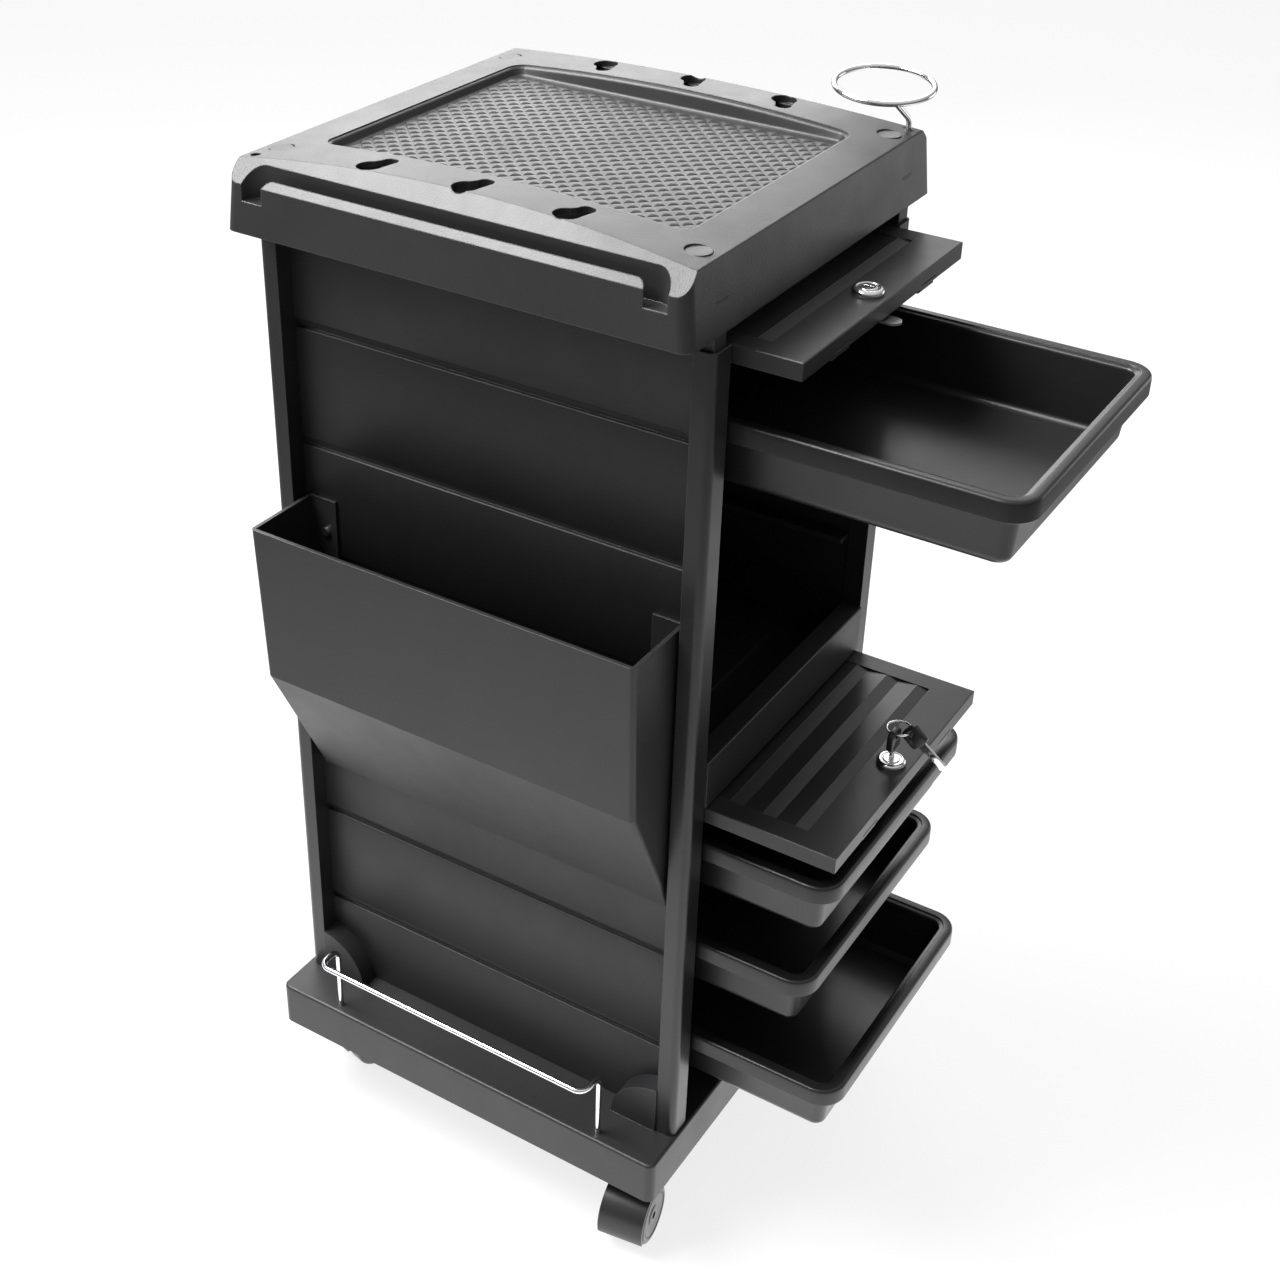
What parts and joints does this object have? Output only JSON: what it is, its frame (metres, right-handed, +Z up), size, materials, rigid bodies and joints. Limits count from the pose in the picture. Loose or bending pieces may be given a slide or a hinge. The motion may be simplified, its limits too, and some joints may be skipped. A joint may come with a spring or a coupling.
{
  "type": "rolling salon trolley",
  "caption": "Black plastic hairdresser's trolley on twin-wheel casters with a tool tray, pull-out drawers, lockable flip-up doors, a magazine pocket, a bottle rail and a chrome dryer ring.",
  "frame": {"origin": "On the floor, under the centre of the whole trolley's box at rest with its drawers and doors part out.", "axes": "+Z up; -Y is the front, the way the drawers and doors open; the magazine pocket and bottle rail are on -X; the dryer ring is over the front corner on +X."},
  "size_m": [0.4078, 0.58, 0.8912],
  "materials": {
    "cabinet_shell": "satin black ABS with a fine moulded grain",
    "tray_plastic": "satin black ABS, smoother, soft highlights",
    "drawer_plastic": "semi-gloss black moulded plastic",
    "door_plastic": "satin black ABS with louvred slats",
    "chrome_wire": "bright chromed steel wire",
    "lock_chrome": "chromed zinc",
    "steel_fixings": "zinc plated steel",
    "key_plastic": "black bow over a nickelled steel blade",
    "key_ring_steel": "nickelled spring wire",
    "caster_steel": "plain turned steel",
    "caster_plastic": "black nylon"
  },
  "bodies": {
    "cabinet": {"base_plate": "cabinet_shell", "base_rail": "chrome_wire", "caster_sleeves": "caster_plastic", "corner_blocks": "cabinet_shell", "door_tracks": "cabinet_shell", "drawer_runners": "cabinet_shell", "frame_screws": "steel_fixings", "magazine_pocket": "cabinet_shell", "mid_shelf": "cabinet_shell", "pocket_screws": "steel_fixings", "post_front_left": "cabinet_shell", "post_front_right": "cabinet_shell", "post_rear_left": "cabinet_shell", "post_rear_right": "cabinet_shell", "rear_cleats": "cabinet_shell", "rear_panel": "cabinet_shell", "ring_bush": "tray_plastic", "screw_covers": "tray_plastic", "side_panel_left": "cabinet_shell", "side_panel_right": "cabinet_shell", "sill_rail": "cabinet_shell", "tray_screws": "steel_fixings", "tray_top": "tray_plastic"},
    "ring": {"dryer_ring": "chrome_wire"},
    "drawer_1_body": {"drawer_1": "drawer_plastic"},
    "drawer_2_body": {"drawer_2": "drawer_plastic"},
    "drawer_3_body": {"drawer_3": "drawer_plastic"},
    "drawer_4_body": {"drawer_4": "drawer_plastic"},
    "upper_door_body": {"upper_door": "door_plastic", "upper_lock_housing": "lock_chrome", "upper_lock_nut": "steel_fixings"},
    "upper_lock_body": {"upper_lock_plug": "lock_chrome", "upper_lock_cam": "steel_fixings", "upper_cam_screw": "steel_fixings"},
    "lower_door_body": {"lower_door": "door_plastic", "lower_lock_housing": "lock_chrome", "lower_lock_nut": "steel_fixings"},
    "lower_lock_body": {"lower_lock_plug": "lock_chrome", "lower_lock_cam": "steel_fixings", "lower_cam_screw": "steel_fixings", "key": "key_plastic"},
    "spare_key_body": {"key_ring": "key_ring_steel", "spare_key": "key_plastic"},
    "swivel_front_left": {"caster_stem_front_left": "caster_steel", "caster_hood_front_left": "caster_plastic"},
    "wheels_front_left": {"caster_wheels_front_left": "caster_plastic", "caster_axle_front_left": "caster_steel"},
    "swivel_front_right": {"caster_stem_front_right": "caster_steel", "caster_hood_front_right": "caster_plastic"},
    "wheels_front_right": {"caster_wheels_front_right": "caster_plastic", "caster_axle_front_right": "caster_steel"},
    "swivel_rear_left": {"caster_stem_rear_left": "caster_steel", "caster_hood_rear_left": "caster_plastic"},
    "wheels_rear_left": {"caster_wheels_rear_left": "caster_plastic", "caster_axle_rear_left": "caster_steel"},
    "swivel_rear_right": {"caster_stem_rear_right": "caster_steel", "caster_hood_rear_right": "caster_plastic"},
    "wheels_rear_right": {"caster_wheels_rear_right": "caster_plastic", "caster_axle_rear_right": "caster_steel"}
  },
  "joints": [
    {"name": "drawer_1_slide", "type": "slide", "parent": "cabinet", "child": "drawer_1_body", "axis": [0, -1, 0], "range_m": [-0.206, 0.056]},
    {"name": "drawer_2_slide", "type": "slide", "parent": "cabinet", "child": "drawer_2_body", "axis": [0, -1, 0], "range_m": [-0.106, 0.156]},
    {"name": "drawer_3_slide", "type": "slide", "parent": "cabinet", "child": "drawer_3_body", "axis": [0, -1, 0], "range_m": [-0.094, 0.168]},
    {"name": "drawer_4_slide", "type": "slide", "parent": "cabinet", "child": "drawer_4_body", "axis": [0, -1, 0], "range_m": [-0.125, 0.137]},
    {"name": "upper_door_slide", "type": "slide", "parent": "cabinet", "child": "upper_door_body", "axis": [0, -1, 0], "range_m": [-0.027, 0.235]},
    {"name": "lower_door_slide", "type": "slide", "parent": "cabinet", "child": "lower_door_body", "axis": [0, -1, 0], "range_m": [-0.06, 0.185]},
    {"name": "upper_lock_turn", "type": "hinge", "parent": "upper_door_body", "child": "upper_lock_body", "pos_m": [-0.0039, -0.1195, 0.7995], "axis": [0, 0, 1], "range_deg": [0, 90]},
    {"name": "lower_lock_turn", "type": "hinge", "parent": "lower_door_body", "child": "lower_lock_body", "pos_m": [-0.0039, -0.1755, 0.433], "axis": [0, 0, 1], "range_deg": [-90, 0]},
    {"name": "key_ring_swing", "type": "hinge", "parent": "lower_lock_body", "child": "spare_key_body", "pos_m": [-0.0039, -0.1755, 0.4593], "axis": [0, -1, 0], "range_deg": [0, 40]},
    {"name": "ring_swivel", "type": "hinge", "parent": "cabinet", "child": "ring", "pos_m": [0.1546, -0.0708, 0.86], "axis": [0, 0, 1], "continuous": true},
    {"name": "swivel_front_left_turn", "type": "hinge", "parent": "cabinet", "child": "swivel_front_left", "pos_m": [-0.14189, -0.055, 0.072], "axis": [0, 0, 1], "continuous": true},
    {"name": "wheels_front_left_spin", "type": "hinge", "parent": "swivel_front_left", "child": "wheels_front_left", "pos_m": [-0.1617, -0.05778, 0.025], "axis": [0.1392, -0.9903, 0], "continuous": true},
    {"name": "swivel_front_right_turn", "type": "hinge", "parent": "cabinet", "child": "swivel_front_right", "pos_m": [0.13411, -0.055, 0.072], "axis": [0, 0, 1], "continuous": true},
    {"name": "wheels_front_right_spin", "type": "hinge", "parent": "swivel_front_right", "child": "wheels_front_right", "pos_m": [0.11598, -0.06345, 0.025], "axis": [0.4226, -0.9063, 0], "continuous": true},
    {"name": "swivel_rear_left_turn", "type": "hinge", "parent": "cabinet", "child": "swivel_rear_left", "pos_m": [-0.14189, 0.255, 0.072], "axis": [0, 0, 1], "continuous": true},
    {"name": "wheels_rear_left_spin", "type": "hinge", "parent": "swivel_rear_left", "child": "wheels_rear_left", "pos_m": [-0.12233, 0.25084, 0.025], "axis": [0.2079, 0.9781, 0], "continuous": true},
    {"name": "swivel_rear_right_turn", "type": "hinge", "parent": "cabinet", "child": "swivel_rear_right", "pos_m": [0.13411, 0.255, 0.072], "axis": [0, 0, 1], "continuous": true},
    {"name": "wheels_rear_right_spin", "type": "hinge", "parent": "swivel_rear_right", "child": "wheels_rear_right", "pos_m": [0.1529, 0.26184, 0.025], "axis": [-0.342, 0.9397, 0], "continuous": true}
  ]
}
